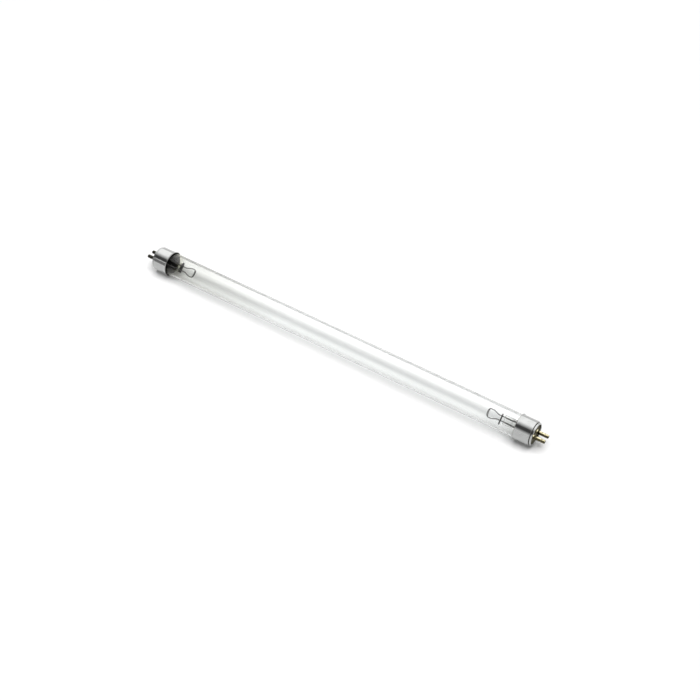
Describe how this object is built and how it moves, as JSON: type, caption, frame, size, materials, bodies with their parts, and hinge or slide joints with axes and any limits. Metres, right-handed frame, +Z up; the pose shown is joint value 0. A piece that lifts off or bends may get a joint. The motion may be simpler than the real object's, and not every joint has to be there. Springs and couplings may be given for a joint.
{
  "type": "ultraviolet tube lamp",
  "caption": "Clear glass ultraviolet tube lamp, straight and slim, with a metal cap, contact pins and a wound filament at each end; gives short-wave light between its lamp holders.",
  "frame": {"origin": "on the floor under the middle of the lamp, which lies on the rims of its caps", "axes": "+X along the tube towards its right end, +Y to the rear, +Z up"},
  "size_m": [0.3026, 0.0172, 0.0172],
  "materials": {
    "glass": "clear, polished",
    "stem_glass": "clear, pressed",
    "cap": "bright drawn",
    "insulator": "satin hard paper",
    "pin": "bright, drawn",
    "cement": "matt",
    "lead": "dull plated wire",
    "filament": "dull, coated",
    "strip": "dark, dull"
  },
  "bodies": {
    "root": {"glass_tube": "glass", "basing_cement": "cement", "cap_shell_left": "cap", "insulator_left": "insulator", "pin_front_left": "pin", "pin_rear_left": "pin", "stem_left": "stem_glass", "lead_wire_front_left": "lead", "lead_wire_rear_left": "lead", "filament_left": "filament", "getter_strip_left": "strip", "cap_shell_right": "cap", "insulator_right": "insulator", "pin_front_right": "pin", "pin_rear_right": "pin", "stem_right": "stem_glass", "lead_wire_front_right": "lead", "lead_wire_rear_right": "lead", "filament_right": "filament", "getter_strip_right": "strip"}
  },
  "joints": []
}
